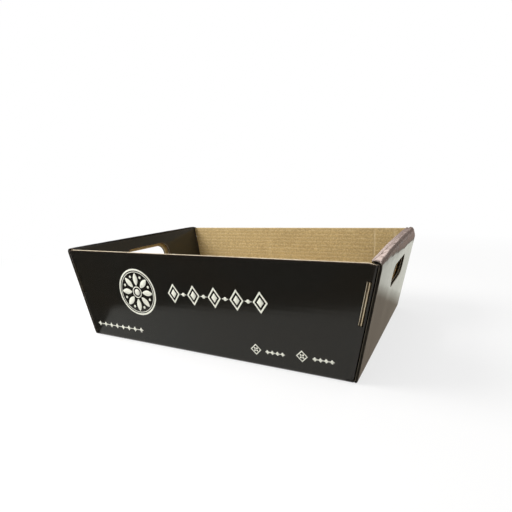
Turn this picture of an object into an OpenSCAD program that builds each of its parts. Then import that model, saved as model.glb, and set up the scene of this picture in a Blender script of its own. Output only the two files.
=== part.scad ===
// Open-topped hamper tray of corrugated board, cut as one blank and folded without glue.
// Millimetres. The origin is the middle of the base on the table, +X runs along the long side,
// the front long wall is at -Y and +Z is up.

/* [Base] */
// Length of the base between the outsides of its two end folds
base_l = 375; // [300:1:450]
// Width of the base between the outsides of its two long folds
base_w = 264; // [220:1:340]

/* [Walls] */
// Height of the long walls above the table
wall_h = 124; // [115:1:170]
// Outward lean of the two end walls, in degrees
end_lean = 11.8; // [4:0.1:20]
// Outward lean of the two long walls, in degrees
side_lean = 4.6; // [1:0.1:12]

/* [Board] */
// Thickness of the corrugated board
board_t = 3; // [2:0.1:4]
// Slack between two panels that lie against each other
panel_gap = 0.7; // [0.4:0.1:1.2]
// Inside radius of the four folds round the base
base_fold_in = 2; // [1.6:0.1:4]
// Inside radius of the four upright folds to the corner flaps
corner_fold_in = 0.5; // [0.3:0.1:2]
// Inside radius of the two folds along each roll-over
roll_fold_in = 0.4; // [0.2:0.1:1.5]
// Thickness that the corner folds, their flaps and the tabs lose on each face where they are crushed
crush = 0.1; // [0.05:0.05:0.4]

/* [Roll-over ends] */
// Rise of the roll-over's inner edge above the top of the long walls
roll_rise = 3.2; // [2:0.1:8]
// How far an end wall's cut side edges stop short of the outsides of the long walls
edge_inset = 0.3; // [0.1:0.1:1.5]
// Gap between the side edges of an inner panel and the long walls
side_gap = 0.7; // [0.3:0.1:2]
// Gap between the lower edge of an inner panel and the base
floor_gap = 0.6; // [0.3:0.1:3]

/* [Corner flaps] */
// Length of a corner flap from its fold
flap_l = 72; // [40:1:85]
// Height of a flap's lower edge above the base
flap_lift = 2.5; // [1.5:0.1:10]

/* [Lock tabs] */
// Length of a tab up the wall
tab_l = 44; // [20:1:50]
// Distance from the table to the middle of a tab, up the corner
tab_up = 85; // [70:1:88]
// Clearance above and below a tab in its slot
tab_end_gap = 0.8; // [0.4:0.1:2]
// Clearance between a tab and the inboard edge of its slot
tab_in_gap = 0.3; // [0.2:0.1:1]
// Clearance between a tab and the outboard edge of its slot
tab_out_gap = 1.7; // [0.4:0.1:2.5]
// How far a tab stops short of the outside of the long wall
tab_short = 0.2; // [0.1:0.1:1.5]

/* [Hand holes] */
// Length of a hand hole in the outer panel
hole_l = 91; // [70:1:110]
// Height of a hand hole in the outer panel
hole_h = 27; // [22:1:36]
// Radius of its corners
hole_r = 13; // [6:0.5:18]
// Distance from the table to the middle of a hole, up the end wall
hole_up = 91; // [70:1:92]
// How much wider the inner panel's hole is on every side
hole_step = 4; // [1:0.1:4]

/* [Hidden] */
$fn = 64;
fold_steps = 10;
board_color = "#2e2c28";

// Outside radii of the folds, all made in the same board
base_fold_r = base_fold_in + board_t;
corner_fold_r = corner_fold_in + board_t;
roll_fold_r = roll_fold_in + board_t;

// Depths inboard of an end wall's outer face: its flap, its inner panel and the whole roll-over
flap_depth = board_t + panel_gap;
inner_depth = 2 * flap_depth;
roll_w = inner_depth + board_t;

// Distances up the sloping faces from the table: top of the long walls and of the roll-over
side_up = wall_h / cos(side_lean);
roll_up = (wall_h + roll_rise - roll_w * sin(end_lean)) / cos(end_lean);
roll_under = roll_up - board_t;

// Distance up the end wall's slope to the lower edge of its inner panel
inner_foot = (board_t + floor_gap - (roll_w - board_t) * sin(end_lean)) / cos(end_lean);

// Where the base folds start, inboard of the corner that they round off
end_tangent = base_fold_r * tan((90 - end_lean) / 2);
side_tangent = base_fold_r * tan((90 - side_lean) / 2);

// The upright corner folds: their axes, seen from an end wall's own frame, their lean along that
// wall, and the angle that they turn through
corner_x = -(flap_depth + corner_fold_r);
corner_y = base_w / 2 - (corner_fold_r + sin(side_lean) * sin(end_lean) * corner_x) / cos(side_lean);
corner_lean = atan(tan(side_lean) * cos(end_lean));
corner_turn = acos(sin(side_lean) * sin(end_lean));

// Distance up the corner folds to the lower edges of the flaps
flap_foot = (board_t + flap_lift + corner_x * sin(end_lean)) / (cos(end_lean) * cos(corner_lean));

// Reach of the cutting shapes past the tray
spare = 20;
over_h = wall_h + 2 * spare;

// Directions in a section: ahead along the board at a heading, and left towards its inside face
function ahead(heading) = [cos(heading), sin(heading)];
function left(heading) = [-sin(heading), cos(heading)];

// Points along one face of folded board in section, at a depth from its outside face. Each bend is
// [length of the straight stretch before it, angle turned to the left, outside radius].
function face_points(depth, at, heading, bends, last, i = 0) =
    i == len(bends) ? [at + last * ahead(heading) + depth * left(heading)] :
    let (
        turn = bends[i][1],
        r = bends[i][2],
        centre = at + bends[i][0] * ahead(heading) + r * left(heading)
    )
    concat(
        [for (k = [0:fold_steps]) centre - (r - depth) * left(heading + turn * k / fold_steps)],
        face_points(depth, centre - r * left(heading + turn), heading + turn, bends, last, i + 1)
    );

// Outline of folded board in section, past its starting end: out along one face and back
function strip_points(thick, at, heading, bends, last) =
    let (
        inside = face_points(thick, at, heading, bends, last)
    )
    concat(
        face_points(0, at, heading, bends, last),
        [for (i = [len(inside) - 1:-1:0]) inside[i]]
    );

// A section drawn across the tray, carried along X over a length that is centred on the origin
module along_x(l) {
    rotate([90, 0, 90]) translate([0, 0, -l / 2]) linear_extrude(l) children();
}

// A section drawn along the tray, carried across it over a width that is centred on the origin
module along_y(w) {
    rotate([90, 0, 0]) translate([0, 0, -w / 2]) linear_extrude(w) children();
}

// The two ends of the tray from one, and its two long sides from one
module both_ends() {
    children();
    mirror([1, 0, 0]) children();
}

module both_sides() {
    children();
    mirror([0, 1, 0]) children();
}

// Frame of the right end wall: X out through its outer face, Z up its slope from the table
module end_frame() {
    translate([base_l / 2, 0, 0]) rotate([0, end_lean, 0]) children();
}

// Frame of the back right corner fold: Z up its axis, X towards the end wall
module corner_frame() {
    end_frame() translate([corner_x, corner_y, 0]) rotate([-corner_lean, 0, 0]) children();
}

// All that lies between the long walls' faces at a depth from their outsides
module between_sides(depth) {
    foot = base_w / 2 - depth / cos(side_lean);
    low = foot - spare * tan(side_lean);
    top = foot + over_h * tan(side_lean);
    along_x(base_l + 2 * over_h)
        polygon([[-low, -spare], [low, -spare], [top, over_h], [-top, over_h]]);
}

// What the rounded long fold leaves out along the back lower edge
module outside_fold() {
    flat = base_w / 2 - side_tangent;
    far = base_fold_r + spare;
    along_x(base_l + over_h) difference() {
        polygon([
            [flat, base_fold_r],
            [flat, -spare],
            [flat + far, -spare],
            [flat + far * cos(side_lean), base_fold_r - far * sin(side_lean)],
        ]);
        translate([flat, base_fold_r]) circle(base_fold_r + crush / 2);
    }
}

// Outline of a hand hole, widened by a margin on every side
module hole_outline(margin) {
    r = min(hole_r + margin, hole_h / 2 + margin - 0.01);
    half_l = hole_l / 2 + margin - r;
    half_h = hole_h / 2 + margin - r;
    square([2 * (half_l + r), 2 * half_h], center = true);
    square([2 * half_l, 2 * (half_h + r)], center = true);
    for (x = [-half_l, half_l], y = [-half_h, half_h]) translate([x, y]) circle(r);
}

// The hand hole's cut through one panel, from a depth inboard of the end wall's outer face
module hole_cut(depth, thick, margin) {
    translate([-depth - thick, 0, hole_up]) rotate([90, 0, 90]) linear_extrude(thick) hole_outline(margin);
}

// The base and the two long walls in section: one half of the strip, and its mirror image
module sides_section() {
    bends = [[base_w / 2 - side_tangent, 90 - side_lean, base_fold_r]];
    half = strip_points(board_t, [0, 0], 0, bends, side_up - side_tangent);
    polygon(concat(half, [for (i = [len(half) - 1:-1:0]) [-half[i][0], half[i][1]]]));
}

// The base and the two long walls, as one folded strip that stops at the corner folds
module base_and_sides() {
    difference() {
        along_x(base_l + over_h) sides_section();
        both_ends() {
            both_sides() corner_frame() rotate(corner_turn - 90)
                translate([0, -base_w / 4, -spare]) cube([2 * over_h, base_w, 2 * over_h]);
            translate([base_l / 2 - end_tangent - board_t, -base_w / 2, -spare])
                cube([over_h, base_w, 2 * spare]);
        }
    }
}

// A corner flap, its fold and the root that laps into the long wall, in section across the fold
module corner_section() {
    outside = corner_fold_r - crush;
    thick = board_t - 2 * crush;
    bends = [[flap_l, corner_turn, outside]];
    start = [outside, -flap_l];
    polygon(concat([start], strip_points(thick, start, 90, bends, board_t / 2), [start - [thick, 0]]));
}

// One corner flap. Its fold stands on the base, and the flap's lower edge is lifted clear of it.
module corner_flap() {
    corner_frame() difference() {
        linear_extrude(over_h) corner_section();
        translate([-spare, -2 * flap_l, -spare]) cube([2 * spare, 2 * flap_l - crush, spare + flap_foot]);
    }
}

// Space under the roll-over, which the long walls and the flaps stay clear of
module roll_notch() {
    end_frame() translate([-roll_w - panel_gap, -base_w, roll_under - panel_gap])
        cube([roll_w + spare, 2 * base_w, over_h]);
}

// Block up the corner, centred on the lock tab: from a depth inboard of the end wall's outer face,
// and from a distance inboard of the corner fold's axis to well outside the long wall
module lock_block(depth, thick, inboard, l) {
    corner_frame() translate([-depth - corner_x, -inboard, tab_up - l / 2])
        cube([thick, inboard + corner_fold_r + board_t, l]);
}

// The slot that one lock tab goes through
module lock_slot() {
    thick = board_t + tab_in_gap + tab_out_gap;
    lock_block(roll_w + tab_in_gap, thick, -corner_fold_in / 2, tab_l + 2 * tab_end_gap);
}

// One lock tab, with the root that laps into the inner panel
module lock_tab() {
    intersection() {
        lock_block(roll_w - crush, board_t - 2 * crush, 2 * board_t, tab_l);
        between_sides(tab_short);
    }
}

// One end in section: base fold, outer panel, roll-over and inner panel
module end_section() {
    start = [base_l / 2 - end_tangent - 2 * board_t, 0];
    bends = [
        [2 * board_t, 90 - end_lean, base_fold_r],
        [roll_up - end_tangent - roll_fold_r, 90, roll_fold_r],
        [roll_w - 2 * roll_fold_r, 90, roll_fold_r],
    ];
    last = roll_up - roll_fold_r - inner_foot;
    polygon(concat([start], strip_points(board_t, start, 0, bends, last), [start + [0, board_t]]));
}

// The strips that an inner panel leaves out along its two sides
module beside_inner() {
    difference() {
        end_frame() translate([-roll_w - spare, -base_w, 0])
            cube([spare + board_t + panel_gap / 2, 2 * base_w, roll_up - roll_fold_r / 2]);
        between_sides(board_t + side_gap);
    }
}

// One end wall, cut to the long walls, with its hand hole and its two lock tabs
module end_wall() {
    difference() {
        intersection() {
            along_y(2 * base_w) end_section();
            between_sides(edge_inset);
        }
        beside_inner();
        end_frame() hole_cut(-spare, spare + inner_depth - panel_gap / 2, 0);
        end_frame() hole_cut(inner_depth - panel_gap / 2, spare, hole_step);
    }
    both_sides() lock_tab();
}

// The whole tray
module tray() {
    color(board_color) difference() {
        union() {
            difference() {
                union() {
                    base_and_sides();
                    both_ends() both_sides() corner_flap();
                }
                both_ends() {
                    roll_notch();
                    both_sides() lock_slot();
                }
            }
            both_ends() end_wall();
        }
        both_sides() outside_fold();
    }
}

tray();
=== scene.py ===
import math

import bmesh
import bpy
from mathutils import Matrix, Vector, noise


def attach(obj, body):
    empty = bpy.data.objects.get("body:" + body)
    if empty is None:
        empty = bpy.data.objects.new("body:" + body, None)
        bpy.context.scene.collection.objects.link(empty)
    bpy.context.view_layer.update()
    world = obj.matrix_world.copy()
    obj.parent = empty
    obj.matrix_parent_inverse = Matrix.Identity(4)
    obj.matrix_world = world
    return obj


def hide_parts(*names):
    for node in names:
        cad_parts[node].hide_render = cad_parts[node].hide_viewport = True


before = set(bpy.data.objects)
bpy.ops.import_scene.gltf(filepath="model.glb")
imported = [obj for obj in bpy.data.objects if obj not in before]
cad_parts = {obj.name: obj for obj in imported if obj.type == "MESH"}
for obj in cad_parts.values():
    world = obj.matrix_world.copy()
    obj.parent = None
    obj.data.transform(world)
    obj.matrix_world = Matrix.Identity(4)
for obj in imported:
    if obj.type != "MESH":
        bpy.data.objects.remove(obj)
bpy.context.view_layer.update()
mm = 0.001

# the folded blank, with the solid's own sizes, except for the edge inset, which wear has made larger
blank = {
    "baseLength": 375 * mm,
    "baseWidth": 264 * mm,
    "wallHeight": 124 * mm,
    "endLean": math.radians(11.8),
    "sideLean": math.radians(4.6),
    "board": 3 * mm,
    "panelGap": 0.7 * mm,
    "baseFoldInside": 2 * mm,
    "cornerFoldInside": 0.5 * mm,
    "rollFoldInside": 0.4 * mm,
    "rollRise": 3.2 * mm,
    "edgeInset": 1.3 * mm,  # the side edges of the end panels lie this far behind the long walls' faces
    "sideGap": 0.7 * mm,
    "floorGap": 0.6 * mm,
    "flapLength": 72 * mm,
    "flapLift": 2.5 * mm,
}
lock = {
    "tabLength": 44 * mm,
    "tabUp": 85 * mm,
    "endGap": 0.8 * mm,
    "inGap": 0.3 * mm,
    "outGap": 1.7 * mm,
    "short": 0.2 * mm,
    "shy": 2.4 * mm,  # how much further in the front left tab has stayed
    "crush": 0.1 * mm,
    "root": 6 * mm,
}
handHole = {
    "length": 91 * mm,
    "height": 27 * mm,
    "radius": 13 * mm,
    "up": 91 * mm,
    "step": 4 * mm,
    "halfPatch": 57 * mm,  # the patch of mesh that is fitted round a hole
    "patchHeight": 24 * mm,
    "rings": 5,
}
flutes = {
    "pitch": 6.3 * mm,
    "liner": 0.34 * mm,
    "medium": 0.14 * mm,  # half the thickness of the wavy medium
    "kraftWave": 0.07 * mm,  # how far the flutes show through each liner
    "printWave": 0.01 * mm,
}
# how each kind of cut edge looks: depth of its hollow, how far the medium lies back, and how pale each part is; a
# low paleness is painted shade, in the hollows and where an edge lies in a gap, a slot or a hole
cuts = {
    "plain": {"groove": 1.1 * mm, "sunk": 0.1 * mm, "lips": 1.0, "core": 1.0, "deep": 0.0},
    "crushed": {"groove": 0.2 * mm, "sunk": 0.05 * mm, "lips": 1.0, "core": 1.0, "deep": 0.9, "pinch": 0.9 * mm},
    # the end panels' side edges, painted dark as shade in the gap inside the corner folds
    "gapShadedEdge": {"groove": 1.9 * mm, "sunk": 0.9 * mm, "lips": 0.1, "core": 0.0, "deep": 0.0},
    "flap": {"groove": 0.7 * mm, "sunk": 0.3 * mm, "lips": 0.0, "core": 0.0, "deep": 0.0},
    # hole edges of the left and of the right end, both painted darker as shade in the hole, the right one more
    "leftHoleShade": {"groove": 1.3 * mm, "sunk": 0.6 * mm, "lips": 0.75, "core": 0.2, "deep": 0.0},
    "rightHoleShade": {"groove": 1.3 * mm, "sunk": 0.6 * mm, "lips": 0.25, "core": 0.05, "deep": 0.0},
    "slot": {"groove": 0.6 * mm, "sunk": 0.1 * mm, "lips": 0.12, "core": 0.05, "deep": 0.0},
    "torn": {"groove": 1.2 * mm, "sunk": 0.1 * mm, "lips": 1.0, "core": 1.0, "deep": 0.1, "ragged": 0.7 * mm},
}
grain = {
    "fine": 1.3 * mm,  # mesh step across the flutes
    "coarse": 6 * mm,  # mesh step along them
    "panel": 4 * mm,
    "edge": 1.1 * mm,
    "foldSteps": 8,
}

board = blank["board"]
endLean, sideLean = blank["endLean"], blank["sideLean"]
baseFold = blank["baseFoldInside"] + board
cornerFold = blank["cornerFoldInside"] + board
rollFold = blank["rollFoldInside"] + board
flapDepth = board + blank["panelGap"]
rollWidth = 2 * flapDepth + board
rollUp = (blank["wallHeight"] + blank["rollRise"] - rollWidth * math.sin(endLean)) / math.cos(endLean)
notchUp = rollUp - board - blank["panelGap"]
innerFoot = (board + blank["floorGap"] - (rollWidth - board) * math.sin(endLean)) / math.cos(endLean)
endTangent = baseFold * math.tan((math.pi / 2 - endLean) / 2)
sideTangent = baseFold * math.tan((math.pi / 2 - sideLean) / 2)
flatAcross = blank["baseWidth"] / 2 - sideTangent
flatAlong = blank["baseLength"] / 2 - endTangent - board
cornerIn = -(flapDepth + cornerFold)
cornerAcross = blank["baseWidth"] / 2 - (
    cornerFold + math.sin(sideLean) * math.sin(endLean) * cornerIn
) / math.cos(sideLean)
cornerLean = math.atan(math.tan(sideLean) * math.cos(endLean))
cornerTurn = math.acos(math.sin(sideLean) * math.sin(endLean))
flapFoot = (board + blank["flapLift"] + cornerIn * math.sin(endLean)) / (math.cos(endLean) * math.cos(cornerLean))

# directions of the right end wall and of the back right corner fold
endOut = Vector((math.cos(endLean), 0, -math.sin(endLean)))
endUp = Vector((math.sin(endLean), 0, math.cos(endLean)))
across = Vector((0, 1, 0))
wallOut = Vector((0, math.cos(sideLean), -math.sin(sideLean)))
cornerUp = across * math.sin(cornerLean) + endUp * math.cos(cornerLean)
cornerSide = across * math.cos(cornerLean) - endUp * math.sin(cornerLean)
endFoot = Vector((blank["baseLength"] / 2, 0, 0))
cornerFoot = endFoot + endOut * cornerIn + across * cornerAcross


def mirrored(point, alongSign, acrossSign):
    return Vector((point.x * alongSign, point.y * acrossSign, point.z))


def spread(start, stop, step):
    count = max(1, math.ceil(abs(stop - start) / step - 1e-6))
    return [start + (stop - start) * i / count for i in range(count + 1)]


def fluteWave(position, depth):
    # the flutes push both liners out, more through the thin kraft than through the print
    wave = flutes["printWave"] if depth == 0 else flutes["kraftWave"]
    return wave * math.cos(2 * math.pi * position / flutes["pitch"])


def soft(a, b, c):
    return noise.noise(Vector((a, b, c)))


class Skin:
    # gathers grids of points into one mesh, with the position across the flutes and, at each point, a value for
    # wear and painted light: painted sheen on the print, painted shade on the cut edges and in the gap behind the
    # end panels' side edges
    def __init__(self):
        self.points, self.faces, self.fluteAcross, self.wear = [], [], [], []

    def grid(self, rows, outward, keep=None, closed=False):
        # rows of (point, across, wear); outward is the way that the middle of the grid faces
        first = len(self.points)
        width = len(rows[0])
        for row in rows:
            for point, position, wear in row:
                self.points.append(point)
                self.fluteAcross.append(position)
                self.wear.append(wear)
        r, c = (len(rows) - 1) // 2, (width - 1) // 2
        a, b, d = rows[r][c][0], rows[r][c + 1][0], rows[r + 1][c][0]
        flip = (b - a).cross(d - a).dot(outward) < 0
        for r in range(len(rows) - 1):
            for c in range(width if closed else width - 1):
                if keep and not keep(r, c):
                    continue
                e = (c + 1) % width
                low, high = first + r * width, first + (r + 1) * width
                quad = [low + c, low + e, high + e, high + c]
                self.faces.append(quad[::-1] if flip else quad)

    def piece(self, name, material, slot, thicken=None):
        mesh = bpy.data.meshes.new(name)
        mesh.from_pydata([tuple(p) for p in self.points], [], self.faces)
        for label, values in (("fluteAcross", self.fluteAcross), ("wear", self.wear)):
            mesh.attributes.new(label, "FLOAT", "POINT").data.foreach_set("value", values)
        work = bmesh.new()
        work.from_mesh(mesh)
        bmesh.ops.remove_doubles(work, verts=work.verts, dist=0.004 * mm)
        bmesh.ops.dissolve_degenerate(work, edges=work.edges, dist=0.001 * mm)
        bmesh.ops.delete(work, geom=[v for v in work.verts if not v.link_faces], context="VERTS")
        work.to_mesh(mesh)
        work.free()
        obj = bpy.data.objects.new(name, mesh)
        bpy.context.scene.collection.objects.link(obj)
        mesh.materials.append(material)
        mesh.shade_smooth()
        mesh.set_sharp_from_angle(angle=math.radians(42))
        if thicken:
            sheet = obj.modifiers.new("film", "SOLIDIFY")
            sheet.thickness = thicken
            sheet.offset = -1
        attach(obj, "root")
        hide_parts("tray")
        print("made", name, "with", len(mesh.polygons), "faces")
        return obj


printed, kraft, linerEdges, fluteEdges = Skin(), Skin(), Skin(), Skin()


def faceSkin(depth):
    return printed if depth == 0 else kraft


def cutEdge(outer, inner, positions, inward, kind="plain", closed=False):
    # one cut edge of the board: two liners, the hollow between them and the wavy medium in it
    cut = cuts[kind]
    lips, core, bottom = cut["lips"], cut["core"], cut["deep"]
    inward = inward if isinstance(inward, list) else [inward] * len(outer)
    stations = []
    count = len(outer)
    for i in range(count if closed else count - 1):
        j = (i + 1) % count
        steps = max(1, math.ceil((outer[j] - outer[i]).length / grain["edge"]))
        for k in range(steps):
            t = k / steps
            stations.append((outer[i].lerp(outer[j], t), inner[i].lerp(inner[j], t),
                             positions[i] + (positions[j] - positions[i]) * t, inward[i].lerp(inward[j], t)))
    stations.append((outer[0], inner[0], positions[0], inward[0]) if closed
                    else (outer[-1], inner[-1], positions[-1], inward[-1]))
    liner, medium = flutes["liner"] + cut.get("pinch", 0), flutes["medium"]
    outerLip, innerLip, hollow, ribbon = [], [], [], []
    for a, b, position, into in stations:
        through = (b - a).normalized()
        into = (into - through * into.dot(through)).normalized()
        room = (b - a).length / 2 - liner - medium
        wander = 0.9 * soft(a.x / (9 * mm), a.y / (9 * mm), a.z / (9 * mm))
        wave = math.cos(2 * math.pi * position / flutes["pitch"] + wander * 2)
        fray = cut.get("ragged", 0) * (soft(a.x / (1.7 * mm), a.y / (1.7 * mm), a.z / (1.7 * mm)) - 0.2)
        middle = (a + b) / 2 + through * room * wave
        back = cut["sunk"] + 0.1 * mm * soft(a.y / (3 * mm), a.x / (3 * mm), a.z / (3 * mm)) + fray
        top = into * back
        deep = into * max(cut["groove"], back + 0.05 * mm)
        outerLip.append([(a, position, lips), (a + through * liner, position, lips)])
        innerLip.append([(b - through * liner, position, lips), (b, position, lips)])
        # the hollow's walls are painted at 0.6 of the core paleness, and its bottom and the medium's deep side at
        # the deep paleness: painted shade in the hollow
        hollow.append([(p, position, shade) for p, shade in (
            (a + through * liner, 0.6 * core), (a + through * liner + deep, bottom),
            (b - through * liner + deep, bottom), (b - through * liner, 0.6 * core))])
        ribbon.append([(middle + through * side * medium + rise, position, shade) for side, rise, shade in (
            (-1, deep, bottom), (-1, top, core), (1, top, core), (1, deep, bottom))])
    facing = -stations[len(stations) // 2][3]
    linerEdges.grid(outerLip, facing)
    linerEdges.grid(innerLip, facing)
    fluteEdges.grid(hollow, facing)
    fluteEdges.grid(ribbon, facing)


# the two ends: base fold, outer panel, roll-over and inner panel, as stations along the board's path
class Station:
    def __init__(self, x, z, heading, zone, up, fromFold):
        self.x, self.z, self.heading, self.zone, self.up, self.fromFold = x, z, heading, zone, up, fromFold
        self.outward = Vector((math.sin(heading), 0, -math.cos(heading)))


def endPath(depth):
    patchLow = handHole["up"] - handHole["patchHeight"]
    patchHigh = handHole["up"] + handHole["patchHeight"]
    topUp = rollUp - rollFold

    def panelRows(stops):
        rows = [stops[0]]
        for a, b in zip(stops, stops[1:]):
            rows += spread(a, b, grain["panel"])[1:]
        return rows

    outerUps = panelRows([endTangent, patchLow, patchHigh, topUp])
    innerUps = panelRows([topUp, patchHigh, patchLow, innerFoot])
    stretches = (
        ("base", [0, board], math.pi / 2 - endLean, baseFold, None),
        ("outer", [u - endTangent for u in outerUps], math.pi / 2, rollFold, outerUps),
        ("roll", spread(0, rollWidth - 2 * rollFold, 1.2 * mm), math.pi / 2, rollFold, None),
        ("inner", [topUp - u for u in innerUps], 0, 0, innerUps),
    )
    stations, at, heading = [], Vector((flatAlong, 0)), 0.0
    for zone, runs, turn, radius, ups in stretches:
        ahead = Vector((math.cos(heading), math.sin(heading)))
        left = Vector((-ahead.y, ahead.x))
        for i, run in enumerate(runs):
            if run == 0 and stations:
                continue
            p = at + ahead * run + left * depth
            near = min(run if zone != "base" else runs[-1], (runs[-1] - run) if turn else run)
            stations.append(Station(p.x, p.y, heading, zone, ups[i] if ups else 0, near))
        centre = at + ahead * runs[-1] + left * radius
        for k in range(1, grain["foldSteps"] + 1 if turn else 0):
            h = heading + turn * k / grain["foldSteps"]
            normal = Vector((-math.sin(h), math.cos(h)))
            p = centre - normal * (radius - depth)
            label = "fold" if zone == "base" else "roll"
            if zone == "roll" and k * turn / grain["foldSteps"] > math.radians(60):
                label = "tuck"
            last = k == grain["foldSteps"]
            up = (ups[-1] if ups else endTangent) if last else 0
            stations.append(Station(p.x, p.y, h, label, up, 0))
        at = centre - Vector((-math.sin(heading + turn), math.cos(heading + turn))) * radius
        heading += turn
    return stations


def sideLimit(z, inset):
    plane = blank["baseWidth"] / 2 + z * math.tan(sideLean) - inset / math.cos(sideLean)
    if z < baseFold:
        plane = min(plane, flatAcross + math.sqrt(max(0, baseFold ** 2 - (baseFold - z) ** 2)))
    return plane


# how the end walls are worn: each height is in metres, each slope is a plain ratio
endWear = {
    "outerBow": 0.24 * mm,
    "outerRipple": 0.05 * mm,
    "innerBow": 0.16 * mm,
    "rollCrease": 0.26 * mm,
    "rollPucker": 0.05 * mm,
    "calmFrom": 144 * mm,  # the rolled edge has no creases here, near its ends
    "calmOver": 25 * mm,
    "foldCalm": 3 * mm,
    "bendReach": 10 * mm,  # from the fold down to the bend, where it is lowest
    "bendLowest": 50 * mm,  # how far behind the middle that is
    "bendRise": 8.5 * mm,
    "bendSpan": 185 * mm,
    "bendWander": 0.9 * mm,
    "bendRadius": 1.2 * mm,
    "lean": 0.37,
    "leanWander": 0.05,
    "cornerDrop": 1.9 * mm,
    "cornerPush": 0.6 * mm,
    "cornerWidth": 5 * mm,
    "cornerAt": 140.5 * mm,
    "cornerFoot": 100 * mm,  # height from which a corner gives way, and over which it does
    "cornerRise": 22 * mm,
    "frontShare": 0.25,  # the front corners gave way less
}


def endRumple(zone, y, up, along, end):
    # how far the board stands off its true plane: long bows in the panels, creases on the roll-over
    if zone == "outer":
        bow = soft(y / (42 * mm), up / (60 * mm), 3.1 * end)
        ripple = soft(y / (14 * mm), up / (30 * mm), 7.7 * end)
        return endWear["outerBow"] * bow + endWear["outerRipple"] * ripple
    if zone in ("inner", "tuck"):
        return endWear["innerBow"] * soft(y / (50 * mm), up / (50 * mm), 9.3 * end)
    if zone == "roll":
        crease = abs(soft(y / (26 * mm) + along / (16 * mm), along / (6 * mm), 5.5 * end))
        pucker = soft(y / (5.5 * mm) - along / (9 * mm), along / (20 * mm), 2.2 * end)
        nearEnd = (endWear["calmFrom"] - abs(y)) / endWear["calmOver"]
        calm = max(0, min(1, nearEnd, along / endWear["foldCalm"]))
        return (endWear["rollCrease"] * (0.4 - crease * 2) + endWear["rollPucker"] * pucker) * calm
    return 0


def buckle(y, up, end):
    # the top of an outer panel leans back into its roll-over, from a bend that is lowest behind the middle
    away = (y - endWear["bendLowest"]) / endWear["bendSpan"]
    wander = endWear["bendWander"] * soft(y / (30 * mm), 1.7, end)
    reach = endWear["bendReach"] - endWear["bendRise"] * away ** 2 + wander
    over = max(0, up - (rollUp - rollFold - reach))
    lean = endWear["lean"] + endWear["leanWander"] * soft(y / (5 * mm), 4.1, end)
    return -lean * over * min(1, over / endWear["bendRadius"])


def slump(y, z):
    # the back corners of the rolled edges have been pressed in and down
    high = max(0, min(1, (z - endWear["cornerFoot"]) / endWear["cornerRise"]))
    near = math.exp((abs(y) - endWear["cornerAt"]) / endWear["cornerWidth"])
    near *= 1 if y > 0 else endWear["frontShare"]
    pressed = endUp * -endWear["cornerDrop"] - endOut * endWear["cornerPush"]
    return pressed * high * high * min(1.2, near)


def onEnd(station, y, depth, end, along):
    fade = min(1, station.fromFold / (6 * mm))
    ripple = fluteWave(y, depth) * fade
    rumple = endRumple(station.zone, y, station.up, along, end) * (1 if station.zone == "roll" else fade)
    point = Vector((station.x, y, station.z)) + station.outward * (ripple + rumple)
    if station.zone == "outer":
        point += endOut * buckle(y, station.up, end)
    elif station.zone == "roll":
        # the lean runs on round the fold and dies out across the roll-over
        up = (Vector((station.x, 0, station.z)) - endFoot).dot(endUp)
        point += endOut * buckle(y, up, end) * max(0, min(1, 1.25 - along / (rollWidth - depth)))
    point += slump(y, station.z)
    return mirrored(point, end, 1)


def onPanel(zone, y, up, depth, end):
    # any place on an outer or inner panel, away from its folds
    inboard = depth if zone == "outer" else rollWidth - depth
    facing = endOut if zone == "outer" else -endOut
    stand = fluteWave(y, depth) + endRumple(zone, y, up, 0, end)
    return mirrored(endFoot + across * y + endUp * up - endOut * inboard + facing * stand, end, 1)


def holeOutline(y, up, margin):
    # the nearest place on the hole's rounded outline, and the way from the hole into the board
    radius = min(handHole["radius"] + margin, handHole["height"] / 2 + margin - 0.01 * mm)
    halfLength = handHole["length"] / 2 + margin - radius
    halfHeight = handHole["height"] / 2 + margin - radius
    rise = up - handHole["up"]
    centre = Vector((max(-halfLength, min(halfLength, y)), max(-halfHeight, min(halfHeight, rise))))
    away = (Vector((y, rise)) - centre).normalized()
    place = centre + away * radius
    return place.x, place.y + handHole["up"], away


middleColumns = spread(-handHole["halfPatch"], handHole["halfPatch"], grain["fine"])
sideShares = [i / 60 for i in range(1, 61)]


def acrossEnd(limit):
    half = handHole["halfPatch"]
    outerColumns = [half + (limit - half) * share for share in sideShares]
    return [-y for y in reversed(outerColumns)] + middleColumns + outerColumns


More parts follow.
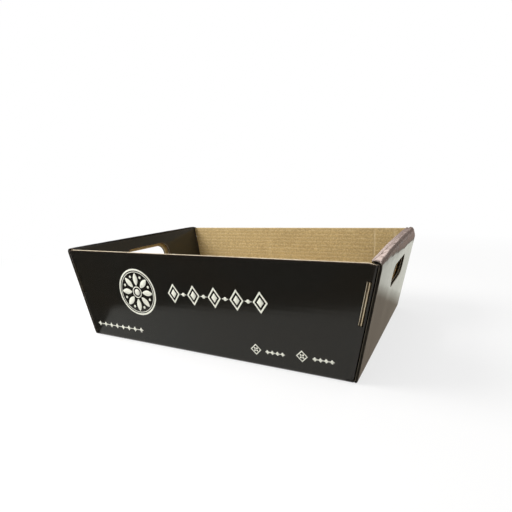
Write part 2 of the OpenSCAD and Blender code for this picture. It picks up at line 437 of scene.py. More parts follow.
def buildEnd(end):
    paths = {depth: endPath(depth) for depth in (0, board)}
    splitAt = next(i for i, s in enumerate(paths[0]) if s.zone == "tuck")
    first = len(sideShares)
    last = first + len(middleColumns) - 1
    facing = mirrored(endOut, end, 1)
    for part, (start, stop, inset) in {
        "outside": (0, splitAt, blank["edgeInset"]),
        "inside": (splitAt - 1, len(paths[0]), board + blank["sideGap"]),
    }.items():
        zone = "outer" if part == "outside" else "inner"
        made = {}
        for depth, path in paths.items():
            rows, along, rollStart = [], 0, 0
            for i in range(start, stop):
                s = path[i]
                if i > start:
                    along += math.hypot(s.x - path[i - 1].x, s.z - path[i - 1].z)
                if s.zone == "outer":
                    rollStart = along
                limit = sideLimit(s.z, inset)
                # negative on the outer panels' kraft face near the side edges, which the kraft paint turns into
                # painted shade in the gap
                shaded = -1 if depth and part == "outside" else 1
                # near the folds: wear on both faces, and on the print also a painted rosy sheen
                foldWearAndSheen = math.exp(-s.fromFold / (2.5 * mm)) * 0.4 if s.zone != "base" else 0
                run = along - rollStart if s.zone == "roll" else 0
                rows.append([
                    (onEnd(s, y, depth, end, run), y,
                     shaded * max(foldWearAndSheen, math.exp((abs(y) - limit) / (1.5 * mm) * (1 if shaded > 0 else 0.4))))
                    for y in acrossEnd(limit)
                ])
            made[depth] = rows
            patchRows = [
                i - start for i in range(start, stop)
                if path[i].zone == zone and abs(path[i].up - handHole["up"]) < handHole["patchHeight"] + 0.01 * mm
            ]
            low, high = patchRows[0], patchRows[-1]
            side = 1 if (depth == 0) == (zone == "outer") else -1
            s = path[start + (len(rows) - 1) // 2]
            outward = mirrored(s.outward, end, 1) * (1 if depth == 0 else -1)
            skin = faceSkin(depth)
            skin.grid(rows, outward, lambda r, c: not (low <= r < high and first <= c < last))
            margin = 0 if zone == "outer" else handHole["step"]
            ups = [path[start + r].up for r in patchRows]
            rim = [(y, ups[0]) for y in middleColumns] + [(middleColumns[-1], u) for u in ups[1:]]
            rim += [(y, ups[-1]) for y in reversed(middleColumns[:-1])]
            rim += [(middleColumns[0], u) for u in reversed(ups[1:-1])]
            rings, hole, inward = [], [], []
            for k in range(handHole["rings"] + 1):
                share = (k / handHole["rings"]) ** 0.8
                ring = []
                for y, up in rim:
                    holeY, holeUpAt, away = holeOutline(y, up, margin)
                    atY, atUp = y + (holeY - y) * share, up + (holeUpAt - up) * share
                    point = onPanel(zone, atY, atUp, depth, end)
                    ring.append((point, atY, math.exp((share - 1) * 6)))
                    if k == handHole["rings"]:
                        hole.append((point, atY))
                        inward.append(mirrored(across * away.x + endUp * away.y, end, 1))
                rings.append(ring)
            skin.grid(rings, facing * side, closed=True)
            made[depth, "hole"] = hole
            made["inward"] = inward
        # the hole edges are painted darker on the right end than on the left, as painted shade in the holes
        kind = "leftHoleShade" if end < 0 else "rightHoleShade"
        cutEdge([p for p, y in made[0, "hole"]], [p for p, y in made[board, "hole"]],
                [y for p, y in made[0, "hole"]], made["inward"], kind, closed=True)
        for c in (0, -1):
            outer = [row[c][0] for row in made[0]]
            inner = [row[c][0] for row in made[board]]
            # painted shade along the end panels' side edges
            cutEdge(outer, inner, [row[c][1] for row in made[0]], across * (1 if c == 0 else -1), "gapShadedEdge")
        if part == "inside":
            outer = [p for p, y, w in made[0][-1]]
            inner = [p for p, y, w in made[board][-1]]
            cutEdge(outer, inner, [y for p, y, w in made[0][-1]], mirrored(endUp, end, 1))
        else:
            for ends in (slice(0, 4), slice(-4, None)):
                outer = [p for p, y, w in made[0][-1][ends]]
                inner = [p for p, y, w in made[board][-1][ends]]
                cutEdge(outer, inner, [y for p, y, w in made[0][-1][ends]], mirrored(endUp, end, 1))


backCreases = {
    "places": (0.1515, 0.1815, -0.033),  # along the wall
    "widths": (1.1 * mm, 1.8 * mm, 1.4 * mm),
    "depths": (0.38 * mm, 0.26 * mm, 0.14 * mm),
    "straight": 0.184,  # beyond this the mesh fans out to the corners
}


def between(x, edge):
    # a place along the wall, stretched only where it nears a corner
    straight, full = backCreases["straight"], blank["baseLength"] / 2
    if abs(x) <= straight:
        return x
    return math.copysign(straight + (abs(x) - straight) * (edge - straight) / (full - straight), x)


# a long wall with its two corner folds and flaps, laid out from one flap's free end to the other
class Column:
    def __init__(self, px, py, normal, low, top, kind, share=None):
        self.px, self.py, self.normal, self.low, self.top = px, py, normal, low, top
        self.kind, self.share = kind, share

    def at(self, v):
        point = cornerFoot + endOut * self.px + cornerSide * self.py + cornerUp * v
        if self.share is not None:
            point.x = between(self.share, point.x)
        return point


def wallColumns(depth):
    radius = cornerFold - depth
    slotIn = lock["inGap"] + rollWidth + cornerIn  # slot edges, inboard of the corner's axis
    slotOut = board + lock["inGap"] + lock["outGap"] - slotIn
    turnAtSlot = math.acos(slotOut / radius) if depth == 0 else math.radians(30)
    notchIn = rollWidth + blank["panelGap"] + cornerIn
    columns = []

    def notchTop(py):
        return (notchUp + py * math.sin(cornerLean)) / math.cos(cornerLean)

    for py in spread(-blank["flapLength"], 0, grain["coarse"])[:-1]:
        columns.append(Column(radius, py, endOut, flapFoot, notchTop(py), "flap"))
    angles = spread(0, turnAtSlot, turnAtSlot / 5)
    angles += spread(turnAtSlot, cornerTurn, (cornerTurn - turnAtSlot) / 3)[1:]
    slotFirst = len(columns) + 5
    for a in angles:
        px, py = radius * math.cos(a), radius * math.sin(a)
        normal = endOut * math.cos(a) + cornerSide * math.sin(a)
        columns.append(Column(px, py, normal, flapFoot, notchTop(py), "fold"))
    start = Vector((radius * math.cos(cornerTurn), radius * math.sin(cornerTurn)))
    ahead = Vector((-math.sin(cornerTurn), math.cos(cornerTurn)))
    foldEnd = baseFold - (baseFold - depth) * math.sin(sideLean)
    for reach in (slotIn, notchIn, notchIn + 0.5 * mm):
        p = start + ahead * (reach + start.x) / -ahead.x
        base = (cornerFoot + endOut * p.x + cornerSide * p.y).z
        low = (foldEnd - base) / cornerUp.z
        top = notchTop(p.y) if reach != notchIn + 0.5 * mm else (blank["wallHeight"] - base) / cornerUp.z
        columns.append(Column(p.x, p.y, wallOut, low, top, "wall"))
    slotLast = slotFirst + 4
    edge = columns[-1]
    half = blank["baseLength"] / 2
    shares = spread(half, -half, grain["coarse"])[1:-1]
    for place, width in zip(backCreases["places"], backCreases["widths"]):
        shares = [s for s in shares if abs(s - place) > 3.4 * width]
        shares += [place + width * k for k in (-2.6, -1.7, -1, -0.5, 0, 0.5, 1, 1.7, 2.6)]
    middle = [Column(edge.px, edge.py, wallOut, edge.low, edge.top, "wall", share)
              for share in sorted(shares, reverse=True)]
    return columns, middle, slotFirst, slotLast


def wallBands():
    halfSlot = lock["tabLength"] / 2 + lock["endGap"]
    low, high = lock["tabUp"] - halfSlot, lock["tabUp"] + halfSlot
    counts = [round(span / grain["fine"]) for span in (low, high - low, blank["wallHeight"] - high)]
    return low, high, counts


def crease(x, z, side):
    # the faint upright creases across the back wall
    if side < 0:
        return 0
    deep = 0
    for place, width, depth in zip(backCreases["places"], backCreases["widths"], backCreases["depths"]):
        drift = 0.8 * mm * soft(z / (18 * mm), place * 40, 0.3)
        strength = 0.6 + 0.8 * soft(z / (11 * mm), place * 90, 7.3)
        deep += depth * strength * math.exp(-((x - place - drift) / width) ** 2)
    return deep * min(1, z / (20 * mm))


def wallRumple(x, v, side):
    return 0.2 * mm * soft(x / (80 * mm), v / (45 * mm), 4.4 * side)


def creaseAt(column, along, point):
    return point.x * along if column.share is None else column.share


def onWall(column, v, depth, side, along):
    point = column.at(v)
    fade = min(1, (v - column.low) / (6 * mm)) if column.kind == "wall" else 0
    if column.kind == "flap":
        fade = min(1, -column.py / (5 * mm))
    stand = fluteWave(v, depth) * fade
    normal = column.normal
    if column.kind == "wall":
        stand += wallRumple(point.x * along, v, side) * fade
        stand += crease(creaseAt(column, along, point), point.z, side)
    return mirrored(point + normal * stand, along, side)


def buildWall(side):
    low, high, counts = wallBands()
    rows = {}
    for depth in (0, board):
        corner, middle, slotFirst, slotLast = wallColumns(depth)
        layout = [(c, 1) for c in corner] + [(c, 1) for c in middle] + [(c, -1) for c in reversed(corner)]
        grid, walls = [], []
        total = sum(counts)
        for r in range(total + 1):
            row = []
            for i, (column, along) in enumerate(layout):
                if r <= counts[0]:
                    v = column.low + (low - column.low) * r / counts[0]
                elif r <= counts[0] + counts[1]:
                    v = low + (high - low) * (r - counts[0]) / counts[1]
                else:
                    v = high + (column.top - high) * (r - counts[0] - counts[1]) / counts[2]
                wear = 0.25 if column.kind == "fold" else 0
                wear = max(wear, math.exp((v - column.top) / (1.2 * mm)))
                if column.share is not None:
                    worn = min(1, crease(column.share, v, side) / (0.3 * mm))
                    wear = max(wear, worn * (1 if depth else 0.35))
                row.append((onWall(column, v, depth, side, along), blank["baseWidth"] / 2 + v, wear))
            grid.append(row)
        rows[depth] = grid
        skin = faceSkin(depth)
        final = len(layout) - 1

        def solid(r, c):
            inBand = counts[0] <= r < counts[0] + counts[1]
            return not (inBand and (slotFirst <= c < slotLast or slotFirst <= final - 1 - c < slotLast))

        outward = mirrored(wallOut, 1, side) * (1 if depth == 0 else -1)
        skin.grid(grid, outward, solid)
        fold = []
        wallOnly = [i for i, (c, along) in enumerate(layout) if c.kind == "wall" or i in (
            len(corner) - 4, final - len(corner) + 4)]
        for a in spread(0, math.pi / 2 - sideLean, (math.pi / 2 - sideLean) / grain["foldSteps"]):
            y = flatAcross + (baseFold - depth) * math.sin(a)
            z = baseFold - (baseFold - depth) * math.cos(a)
            row = []
            for i in wallOnly:
                column, along = layout[i]
                v = (z - column.at(0).z) / cornerUp.z
                row.append((Vector((column.at(v).x * along, y * side, z)), y, 0.3 * math.sin(a)))
            fold.append(row)
        skin.grid(fold, Vector((0, side, -1)) * (1 if depth == 0 else -1))
        marks = (slotFirst, slotLast, final, len(corner))
    slotFirst, slotLast, final, cornerCount = marks
    outer, inner = rows[0], rows[board]

    def run(pick):
        chosen = [pick(rows[0]), pick(rows[board])]
        return [p for p, v, w in chosen[0]], [p for p, v, w in chosen[1]], [v for p, v, w in chosen[0]]

    cutEdge(*run(lambda g: g[-1]), Vector((0, 0, -1)), "crushed")
    for c, inward in ((0, across * side), (final, across * side)):
        cutEdge(*run(lambda g: [row[c] for row in g]), inward)
    for cut in (slice(0, cornerCount - 3), slice(-(cornerCount - 3), None)):
        cutEdge(*run(lambda g: g[0][cut]), Vector((0, 0, 1)), "flap")
    bottom, top = counts[0], counts[0] + counts[1]
    for a, b in ((slotFirst, slotLast), (final - slotLast, final - slotFirst)):
        loop = [(bottom, c) for c in range(a, b)] + [(r, b) for r in range(bottom, top)]
        loop += [(top, c) for c in range(b, a, -1)] + [(r, a) for r in range(top, bottom, -1)]
        points = [outer[r][c] for r, c in loop]
        backs = [inner[r][c] for r, c in loop]
        centre = (outer[bottom][a][0] + outer[top][b][0]) / 2
        # corners of the slot look outwards both ways, its sides only one
        inward = []
        for (r, c), (p, v, w) in zip(loop, points):
            upright = 1 if r == top else -1 if r == bottom else 0
            sideways = (outer[r][b][0] - outer[r][a][0]).normalized() * (1 if c == b else -1 if c == a else 0)
            inward.append(sideways + Vector((0, 0, upright)))
        cutEdge([p for p, v, w in points], [p for p, v, w in backs], [v for p, v, w in points], inward,
                "slot", closed=True)


def buildBase():
    for depth in (0, board):
        rows = []
        for x in spread(-flatAlong, flatAlong, grain["coarse"]):
            row = []
            for y in spread(-flatAcross, flatAcross, grain["fine"]):
                fade = min(1, min(flatAcross - abs(y), flatAlong - abs(x)) / (6 * mm))
                stand = fluteWave(y, depth) * fade
                if depth == 0:
                    stand -= flutes["printWave"] * fade  # so that no flute dips into the floor
                row.append((Vector((x, y, depth + stand * (1 if depth else -1))), y, 0.0))
            rows.append(row)
        faceSkin(depth).grid(rows, Vector((0, 0, 1 if depth else -1)))


def buildTab(along, side):
    # one lock tab, from its root in the inner panel to just short of the long wall's outside
    crush = lock["crush"]
    near = -rollWidth - cornerIn + crush
    far = near + board - 2 * crush
    reach = cornerFold - lock["short"] - (lock["shy"] if along < 0 and side < 0 else 0)
    ups = spread(lock["tabUp"] - lock["tabLength"] / 2, lock["tabUp"] + lock["tabLength"] / 2, grain["panel"] / 2)
    faces = {}
    for px, skin, outward in ((near, printed, -endOut), (far, kraft, endOut)):
        tip = (reach - px * math.cos(cornerTurn)) / math.sin(cornerTurn)
        rows = []
        for v in ups:
            rows.append([
                (mirrored(cornerFoot + endOut * px + cornerSide * py + cornerUp * v, along, side),
                 cornerAcross + py, max(0, 1 + (py - tip) / (3 * mm)))
                for py in spread(-lock["root"], tip, grain["fine"])
            ])
        skin.grid(rows, mirrored(outward, along, side))
        faces[px] = rows
    front, back = faces[near], faces[far]
    cutEdge([row[-1][0] for row in front], [row[-1][0] for row in back], [row[-1][1] for row in front],
            mirrored(-cornerSide, along, side), "torn")
    for r, inward in ((0, cornerUp), (-1, -cornerUp)):
        cutEdge([p for p, v, w in front[r]], [p for p, v, w in back[r]], [v for p, v, w in front[r]],
                mirrored(inward, along, side))


buildBase()
for sign in (1, -1):
    buildEnd(sign)
    buildWall(sign)
    for other in (1, -1):
        buildTab(sign, other)
print("folded the blank")


# shader building: a wrapped socket does the arithmetic, and one method makes every other node
class Wire:
    def __init__(self, paint, socket):
        self.paint, self.socket = paint, socket

    def maths(self, operation, first, second=0.0):
        return self.paint.node("ShaderNodeMath", {"operation": operation}, {0: first, 1: second})

    def __add__(self, other):
        return self.maths("ADD", self, other)

    def __sub__(self, other):
        return self.maths("SUBTRACT", self, other)

    def __rsub__(self, other):
        return self.maths("SUBTRACT", other, self)

    def __mul__(self, other):
        return self.maths("MULTIPLY", self, other)

    def __pow__(self, other):
        return self.maths("POWER", self, other)

    __radd__ = __add__
    __rmul__ = __mul__


class Paint:
    def __init__(self, name, owner=None):
        self.material = owner or bpy.data.materials.new(name)
        self.material.use_nodes = True
        self.tree = self.material.node_tree
        self.tree.nodes.clear()

    def node(self, kind, settings=None, sockets=None, output=0):
        made = self.tree.nodes.new(kind)
        for name, value in (settings or {}).items():
            if name == "stops":
                ramp = made.color_ramp
                while len(ramp.elements) < len(value):
                    ramp.elements.new(0.5)
                for element, (place, shade) in zip(ramp.elements, value):
                    element.position = place
                    element.color = (*shade, 1) if isinstance(shade, tuple) else (shade, shade, shade, 1)
            else:
                setattr(made, name, value)
        for name, value in (sockets or {}).items():
            if isinstance(value, Wire):
                self.tree.links.new(value.socket, made.inputs[name])
            else:
                made.inputs[name].default_value = value
        return Wire(self, made.outputs[output]) if made.outputs else None

    def place(self, scale=(1, 1, 1)):
        where = self.node("ShaderNodeTexCoord", output="Object")
        return self.node("ShaderNodeVectorMath", {"operation": "MULTIPLY"}, {0: where, 1: scale})

    def noise(self, scale, detail=3.0, stretch=(1, 1, 1), rough=0.5):
        sockets = {"Vector": self.place(stretch), "Scale": scale, "Detail": detail, "Roughness": rough}
        return self.node("ShaderNodeTexNoise", None, sockets)

    def ramp(self, value, low, high, dark=0.0, light=1.0):
        return self.node("ShaderNodeValToRGB", {"stops": ((low, dark), (high, light))}, {"Fac": value})

    def mix(self, factor, a, b, blend="MIX"):
        settings = {"data_type": "RGBA", "blend_type": blend}
        a, b = ((*c, 1) if isinstance(c, tuple) else c for c in (a, b))
        return self.node("ShaderNodeMix", settings, {0: factor, 6: a, 7: b}, output=2)

    def attribute(self, name):
        return self.node("ShaderNodeAttribute", {"attribute_name": name}, output="Fac")

    def bump(self, height, strength, distance):
        return self.node("ShaderNodeBump", None, {"Height": height, "Strength": strength, "Distance": distance})

    def finish(self, sockets):
        shader = self.node("ShaderNodeBsdfPrincipled", None, sockets)
        self.node("ShaderNodeOutputMaterial", None, {"Surface": shader})
        return self.material


def printedPaint():
    # black flexographic print under a gloss varnish, scuffed brown along the folds and cut edges, where a painted
    # rosy sheen is also mixed in
    look = {
        "black": (0.0125, 0.0122, 0.0104),
        "warm": (0.0135, 0.0115, 0.0082),
        "scuff": (0.12, 0.085, 0.06),
        "rosySheen": (0.075, 0.048, 0.038),
        "roughness": 0.13,
        "ior": 1.5,
    }
    p = Paint("glossBlackPrint")
    cloud = p.noise(9, 4, (1, 1, 1.6))
    wear = p.attribute("wear")
    speckle = p.ramp(p.noise(900, 3), 0.5, 0.72)
    scuffed = p.ramp(wear * (0.35 + p.noise(160, 5) * 1.1), 0.55, 0.95)
    shade = p.mix(p.ramp(cloud, 0.35, 0.7), look["black"], look["warm"])
    # a painted rosy sheen, mixed in where the wear and painted light value is high
    shade = p.mix(wear * wear * 0.6, shade, look["rosySheen"])
    shade = p.mix(scuffed * 0.8, shade, look["scuff"])
    rough = look["roughness"] + p.ramp(cloud, 0.3, 0.8) * 0.05 + speckle * 0.05 + scuffed * 0.35
    peel = p.noise(420, 2) * 0.6 + p.noise(60, 2) * 0.7
    streak = p.noise(240, 3, (0.12, 1, 1)) * 0.4
    return p.finish({
        "Base Color": shade,
        "Roughness": rough,
        "IOR": look["ior"],
        "Normal": p.bump(peel + streak, 0.14, 0.00012),
    })


def kraftPaint():
    look = {"pale": (0.62, 0.46, 0.212), "mid": (0.46, 0.335, 0.145), "fibre": (0.27, 0.18, 0.07),
            "bruiseAndHighlight": (0.72, 0.59, 0.36), "paintedGapShade": (0.02, 0.018, 0.015), "roughness": 0.86}
    p = Paint("bareKraft")
    blotch = p.noise(18, 6, (1, 1, 1.4), 0.65)
    mottle = p.ramp(p.noise(480, 2, (0.85, 1, 1.1), 0.5), 0.4, 0.62)
    streak = p.noise(170, 4, (0.06, 1, 1))
    fleck = p.ramp(p.noise(1500, 4, (0.35, 1, 1)), 0.6, 0.72)
    fibre = p.ramp(p.noise(620, 5, (0.3, 0.8, 1.2), 0.65), 0.38, 0.66)
    ridge = p.node("ShaderNodeMath", {"operation": "COSINE"}, {
        0: p.attribute("fluteAcross") * (2 * math.pi / flutes["pitch"])})
    shade = p.mix(p.ramp(blotch, 0.3, 0.7), look["mid"], look["pale"])
    shade = p.mix(streak * 0.35, shade, look["pale"])
    shade = p.mix((1 - mottle) * 0.5, shade, look["fibre"])
    # narrow pale lines on the flute crests, a painted highlight
    shade = p.mix((0.5 + ridge * 0.5) ** 5 * (mottle * 0.4 + 0.12), shade, look["bruiseAndHighlight"])
    shade = p.mix(p.attribute("wear") * 0.6, shade, look["bruiseAndHighlight"])
    # painted shade in the gap along the side edges of the outer panels' kraft face, where the value is negative
    shade = p.mix(p.ramp(p.attribute("wear") * -1, 0.1, 0.5), shade, look["paintedGapShade"])
    shade = p.mix(fleck * 0.4 + (1 - fibre) * 0.12, shade, look["fibre"])
    rough = look["roughness"] + fibre * 0.08 - streak * 0.05
    height = fibre * 0.6 + fleck * 0.5 + streak * 0.5
    return p.finish({
        "Base Color": shade,
        "Roughness": rough,
        "Normal": p.bump(height, 0.35, 0.00012),
    })


def edgePaint(name, pale, dark, roughness):
    p = Paint(name)
    wear = p.attribute("wear")
    fuzz = p.noise(1300, 4, (1, 1, 1), 0.65)
    patch = p.noise(120, 3)
    shade = p.mix(p.ramp(patch, 0.3, 0.72), dark, pale)
    # a low value paints the edge dark: painted shade in hollows and in the gaps, slots and holes where edges lie
    shade = p.mix(1 - wear, shade, tuple(0.03 * c for c in dark))
    shade = p.mix(p.ramp(fuzz, 0.52, 0.7) * 0.3, shade, dark)
    return p.finish({
        "Base Color": shade,
        "Roughness": roughness - fuzz * 0.08,
        "Normal": p.bump(fuzz + patch * 0.5, 0.5, 0.0001),
    })


def inkPaint():
    look = {"white": (0.76, 0.76, 0.66), "rubbed": (0.52, 0.51, 0.45), "roughness": 0.3}
    p = Paint("whiteInk")
    mottle = p.noise(300, 4)
    rub = p.ramp(p.noise(38, 5), 0.55, 0.85)
    shade = p.mix(rub * 0.4 + p.ramp(mottle, 0.55, 0.75) * 0.15, look["white"], look["rubbed"])
    return p.finish({
        "Base Color": shade,
        "Roughness": look["roughness"] + mottle * 0.15,
        "Normal": p.bump(mottle, 0.15, 0.00005),
    })


printed.piece("printedLiner", printedPaint(), "printed_board")
kraft.piece("kraftLiner", kraftPaint(), "bare_kraft")
linerEdges.piece("linerEdges", edgePaint("creamEdge", (0.86, 0.79, 0.62), (0.62, 0.5, 0.34), 0.85), "bare_kraft")
fluteEdges.piece("flutedCore", edgePaint("kraftCore", (0.6, 0.46, 0.27), (0.42, 0.3, 0.15), 0.9), "bare_kraft")


# white ornaments on the front wall, as thin films of ink that follow its slope
ornament = {
    "film": 0.05 * mm,
    "proud": 0.045 * mm,
    "medallion": (-89.5, 72.0, 31.0),  # middle and radius, in mm on the front
    "lozengeRow": (-38.0, 97.0, 75.5),  # left, right and height
    "dottedRule": (-176.0, -90.0, 19.0),
    "smallMotifs": ((77.5, 20.0), (131.5, 21.0)),
}
ink = Skin()
wallLow = wallColumns(0)[1][0].at(0).z


def onFront(x, z, proud):
    v = (z * mm - wallLow) / cornerUp.z
    stand = proud + fluteWave(v, 0) + wallRumple(x * mm, v, -1)
    y = -(blank["baseWidth"] / 2 + z * mm * math.tan(sideLean))
    return Vector((x * mm, y, z * mm)) + mirrored(wallOut, 1, -1) * stand


def inkGrid(rows, closed=False):
    lifted = [[(onFront(x, z, ornament["proud"]), z * mm, 0.0) for x, z in row] for row in rows]
    ink.grid(lifted, mirrored(wallOut, 1, -1), closed=closed)


def ringOf(corners, x, z, outer, inner, turn=0.0, squeeze=1.0):
    # a ring between two regular outlines; four corners make a lozenge, many make a circle
    steps = 48 if corners > 8 else corners * 6
    rows = []
    for radius in (outer, inner):
        row = []
        for i in range(steps):
            if corners > 8:
                angle = 2 * math.pi * i / steps
                row.append((x + radius * math.cos(angle) * squeeze, z + radius * math.sin(angle)))
            else:
                side, share = divmod(i, steps // corners)
                share /= steps // corners
                a, b = (turn + 2 * math.pi * (side + k) / corners for k in (0, 1))
                px = math.cos(a) * (1 - share) + math.cos(b) * share
                pz = math.sin(a) * (1 - share) + math.sin(b) * share
                row.append((x + radius * px * squeeze, z + radius * pz))
        rows.append(row)
    inkGrid(rows, closed=True)


def petal(x, z, angle, start, stop, width):
    along, aside = (math.cos(angle), math.sin(angle)), (-math.sin(angle), math.cos(angle))
    rows = []
    for i in range(13):
        share = i / 12
        reach = start + (stop - start) * share
        half = width / 2 * math.sin(math.pi * share) ** 0.75 if 0 < i < 12 else 0.02
        rows.append([(x + along[0] * reach + aside[0] * half * k, z + along[1] * reach + aside[1] * half * k)
                     for k in (-1, 0, 1)])
    inkGrid(rows)


def bar(left, right, z, height):
    inkGrid([[(x, z - height / 2), (x, z + height / 2)] for x in spread(left, right, 8)])


def buildOrnaments():
    x, z, radius = ornament["medallion"]
    ringOf(48, x, z, radius, radius - 2.2)
    ringOf(48, x, z, radius - 3.6, radius - 4.4)
    ringOf(48, x, z, 7.6, 6.4)
    ringOf(48, x, z, 4.2, 0)
    for i in range(8):
        turn = math.pi * i / 4
        petal(x, z, turn, 8.8, 25.4, 7.4)
        dotTurn = turn + math.pi / 8
        ringOf(48, x + 21.5 * math.cos(dotTurn), z + 21.5 * math.sin(dotTurn), 1.7, 0)
    left, right, z = ornament["lozengeRow"]
    count = 5
    step = (right - left - 18) / (count - 1)
    for i in range(count):
        x = left + 9 + step * i
        ringOf(4, x, z, 12.5, 9.4, 0, 0.72)
        ringOf(4, x, z, 5.6, 0, 0, 0.72)
        if i < count - 1:
            bar(x + 10.5, x + step - 10.5, z, 1.1)
            ringOf(48, x + step / 2, z, 2.3, 0)
    left, right, z = ornament["dottedRule"]
    bar(left, right, z, 0.9)
    for x in spread(left + 4, right - 4, 11.3):
        ringOf(4, x, z, 3.6, 0, 0, 0.8)
    for x, z in ornament["smallMotifs"]:
        ringOf(4, x, z, 6.6, 5.0, 0, 1.0)
        for i in range(4):
            petal(x, z, math.pi / 4 + math.pi * i / 2, 0.6, 3.2, 2.0)
        bar(x + 11.5, x + 34.5, z - 1, 1.0)
        for k in range(4):
            ringOf(4, x + 14 + 6 * k, z - 1, 2.6, 0, 0, 0.9)


buildOrnaments()
ink.piece("frontOrnaments", inkPaint(), "printed_board", thicken=ornament["film"])


# floor, backdrop, dark cards for the gloss, lamps and camera
stage = {
    "floorSize": 6.0,
    "floorDrop": 0.05 * mm,  # keeps the floor apart from the underside that rests on it
    "floorColour": (0.9, 0.9, 0.9),
    "background": 1.0,
    "shadowKept": 0.28,
    "shadowReach": (0.5, 1.1),  # from the middle of the box; beyond it the floor is plain white
    "worldLight": 0.68,
}
camera = {
    "location": (0.2711, -0.4771, 0.1925),
    "yaw": math.radians(-28.64),
    "pitch": math.radians(-9.83),
    "roll": math.radians(-2.97),
    "lens": 379.2 / 512 * 36,  # focal length in pixels of the 512 pixel frame, on a 36 mm sensor
}


def seenDirectly(p):
    # 1 for what the camera, a mirror or a glass looks at
    seen = p.node("ShaderNodeLightPath", output="Is Camera Ray")
    shiny = p.node("ShaderNodeLightPath", output="Is Glossy Ray")
    through = p.node("ShaderNodeLightPath", output="Is Transmission Ray")
    return p.node("ShaderNodeMath", {"operation": "MINIMUM"}, {0: seen + shiny + through, 1: 1.0})


def buildFloor():
    p = Paint("paleFloor")
    lit = p.node("ShaderNodeBsdfDiffuse", None, {"Color": (*stage["floorColour"], 1)})
    white = p.node("ShaderNodeEmission", None, {"Color": (1, 1, 1, 1), "Strength": stage["background"]})
    away = p.node("ShaderNodeVectorMath", {"operation": "LENGTH"}, {0: p.place()}, output="Value")
    near, far = stage["shadowReach"]
    kept = p.node("ShaderNodeMapRange", None, {"Value": away, "From Min": near, "From Max": far,
                                               "To Min": stage["shadowKept"], "To Max": 0.0})
    factor = seenDirectly(p) * (1 - kept)
    both = p.node("ShaderNodeMixShader", None, {0: factor, 1: lit, 2: white})
    # seen from below, the floor is clear and shows the underside of the box
    below = p.node("ShaderNodeNewGeometry", output="Backfacing")
    clear = p.node("ShaderNodeBsdfTransparent")
    both = p.node("ShaderNodeMixShader", None, {0: below, 1: both, 2: clear})
    p.node("ShaderNodeOutputMaterial", None, {"Surface": both})
    half = stage["floorSize"] / 2
    low = stage["floorDrop"]
    mesh = bpy.data.meshes.new("floor")
    corners = [(-half, -half, -low), (half, -half, -low), (half, half, -low), (-half, half, -low)]
    mesh.from_pydata(corners, [], [(0, 1, 2, 3)])
    mesh.materials.append(p.material)
    floor = bpy.data.objects.new("floor", mesh)
    bpy.context.scene.collection.objects.link(floor)


def glossCard(name, corners, shade, turning=None):
    # a card that only reflections see, glowing as a painted reflection though it is no lamp; turning is its
    # second shade, and the axis, start and end of the change
    p = Paint(name)
    glow = p.node("ShaderNodeEmission", None, {"Color": (*shade, 1), "Strength": 1.0})
    if turning:
        second, axis, start, stop = turning
        other = p.node("ShaderNodeEmission", None, {"Color": (*second, 1), "Strength": 1.0})
        where = p.node("ShaderNodeSeparateXYZ", None, {0: p.place()}, output=axis)
        share = p.node("ShaderNodeMapRange", None, {"Value": where, "From Min": start, "From Max": stop})
        glow = p.node("ShaderNodeMixShader", None, {0: share, 1: glow, 2: other})
    p.node("ShaderNodeOutputMaterial", None, {"Surface": glow})
    mesh = bpy.data.meshes.new(name)
    mesh.from_pydata(corners, [], [tuple(range(len(corners)))])
    mesh.materials.append(p.material)
    card = bpy.data.objects.new(name, mesh)
    bpy.context.scene.collection.objects.link(card)
    card.visible_camera = False
    card.visible_diffuse = False
    card.visible_shadow = False
    card.visible_transmission = False


def buildWorld():
    world = bpy.data.worlds.new("studio")
    bpy.context.scene.world = world
    p = Paint("studio", world)
    around = p.node("ShaderNodeBackground", None, {"Color": (1, 1, 1, 1), "Strength": stage["worldLight"]})
    white = p.node("ShaderNodeBackground", None, {"Color": (1, 1, 1, 1), "Strength": stage["background"]})
    both = p.node("ShaderNodeMixShader", None, {0: seenDirectly(p), 1: around, 2: white})
    p.node("ShaderNodeOutputWorld", None, {"Surface": both})


def softLamp(name, location, target, size, power, colour):
    lamp = bpy.data.lights.new(name, "AREA")
    lamp.shape = "DISK"
    lamp.size = size
    lamp.energy = power
    lamp.color = colour
    obj = bpy.data.objects.new(name, lamp)
    bpy.context.scene.collection.objects.link(obj)
    obj.location = location
    obj.rotation_euler = (Vector(target) - Vector(location)).to_track_quat("-Z", "Y").to_euler()
    return obj


def buildCamera():
    yaw, pitch, roll = camera["yaw"], camera["pitch"], camera["roll"]
    forward = Vector((math.sin(yaw) * math.cos(pitch), math.cos(yaw) * math.cos(pitch), math.sin(pitch)))
    level = Vector((math.cos(yaw), -math.sin(yaw), 0))
    upright = level.cross(forward)
    right = level * math.cos(roll) + upright * math.sin(roll)
    up = upright * math.cos(roll) - level * math.sin(roll)
    data = bpy.data.cameras.new("camera")
    data.lens = camera["lens"]
    data.sensor_width = 36
    obj = bpy.data.objects.new("camera", data)
    bpy.context.scene.collection.objects.link(obj)
    turned = Matrix((right, up, -forward)).transposed().to_4x4()
    obj.matrix_world = Matrix.Translation(camera["location"]) @ turned
    bpy.context.scene.camera = obj
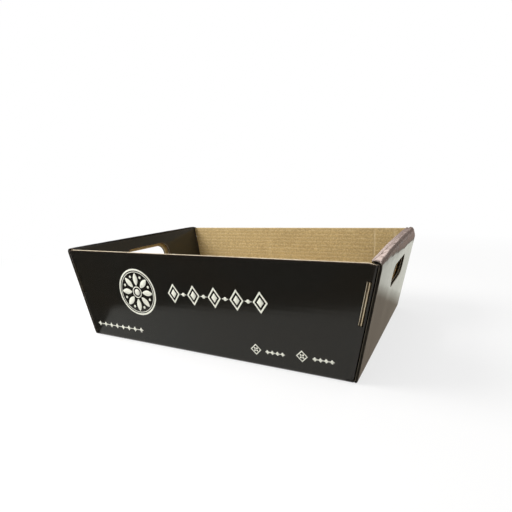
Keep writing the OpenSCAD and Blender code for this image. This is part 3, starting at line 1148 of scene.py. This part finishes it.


# what the gloss mirrors, as glowing cards that are painted reflections, among them painted shade of the floor
# before and beside the box: each has its shade, and most a second one and where the change runs
cards = {
    "lift": 2 * mm,  # of the floor's cards over the floor
    "far": 3,
    "apronOuter": [(-0.235, -0.208), (0.14, -0.28), (0.6, -0.35)],  # the front edge of the grey before the box
    "apronLeft": (-0.175, -0.125),
    "apronShades": ((0.56, 0.57, 0.54), (0.52, 0.52, 0.5)),
    "patchSides": (0.188, 0.7),  # the patches lie on the floor by the right end, from front to back
    "patches": {
        "nearPatch": (-0.125, 0.13, (0.27, 0.225, 0.18), (0.29, 0.25, 0.2)),
        "softPatch": (0.13, 0.2, (0.29, 0.25, 0.2), (0.84, 0.84, 0.74)),
        "palePatch": (0.2, 0.74, (0.94, 0.94, 0.84), (0.98, 0.98, 0.88)),
        "duskPatch": (0.74, 0.86, (0.1, 0.085, 0.075), (0.42, 0.32, 0.27)),
        "rosePatch": (0.86, 2.2, (0.42, 0.32, 0.27), (0.6, 0.46, 0.4)),
    },
    "backdropSides": (-2, 1.2),  # the bands stand behind the box, from low to high
    "backdropBack": 2.2,
    "bands": {
        "lowBackdrop": (0, 0.56, (0.3, 0.23, 0.2), (0.5, 0.38, 0.33)),
        "roseBackdrop": (0.56, 0.74, (0.9, 0.7, 0.62), (3.4, 2.75, 2.5)),
        "paleBackdrop": (0.74, 1.0, (3.8, 3.1, 2.8), (3.0, 2.4, 2.2)),
        "duskBackdrop": (1.0, 2.6, (0.5, 0.4, 0.35), (0.12, 0.09, 0.08)),
    },
    "rightDusk": ((1.2, 2.2), (2.6, 0.6), 1.2, (0.42, 0.37, 0.28)),  # two ends, height and shade
}


def buildCards():
    lift, far = cards["lift"], cards["far"]
    apron = [(x, y, lift) for x, y in cards["apronOuter"]]
    left = (*cards["apronLeft"], lift)
    back, right = left[1], apron[-1][0]
    shade, second = cards["apronShades"]
    glossCard("frontApron", [left, *apron, (right, back, lift)], shade, (second, "X", -0.2, 0.2))
    edge = [(-far, -far, lift), (far, -far, lift), (far, apron[-1][1], lift)]
    glossCard("darkFront", [*edge, *reversed(apron), left, (-far, back, lift)], (0.0, 0.0, 0.0))
    wall = [(-far, -far, 0), (far, -far, 0), (far, -far, far), (-far, -far, far)]
    glossCard("darkWall", wall, (0.0, 0.0, 0.0))
    start, stop = cards["patchSides"]
    for name, (low, high, shade, second) in cards["patches"].items():
        corners = [(start, low, lift), (stop, low, lift), (stop, high, lift), (start, high, lift)]
        glossCard(name, corners, shade, (second, "Y", low, high))
    start, stop, back = *cards["backdropSides"], cards["backdropBack"]
    for name, (low, high, shade, second) in cards["bands"].items():
        corners = [(start, back, low), (stop, back, low), (stop, back, high), (start, back, high)]
        glossCard(name, corners, shade, (second, "Z", low, high))
    one, two, height, shade = cards["rightDusk"]
    glossCard("rightDusk", [(*one, 0), (*two, 0), (*two, height), (*one, height)], shade)


buildFloor()
buildWorld()
buildCards()
softLamp("topLamp", (-0.6, -0.3, 0.8), (0, 0.1, 0.1), 0.7, 11, (1, 0.985, 0.96))
buildCamera()
bpy.context.scene.view_settings.view_transform = "Standard"
print("set the stage")
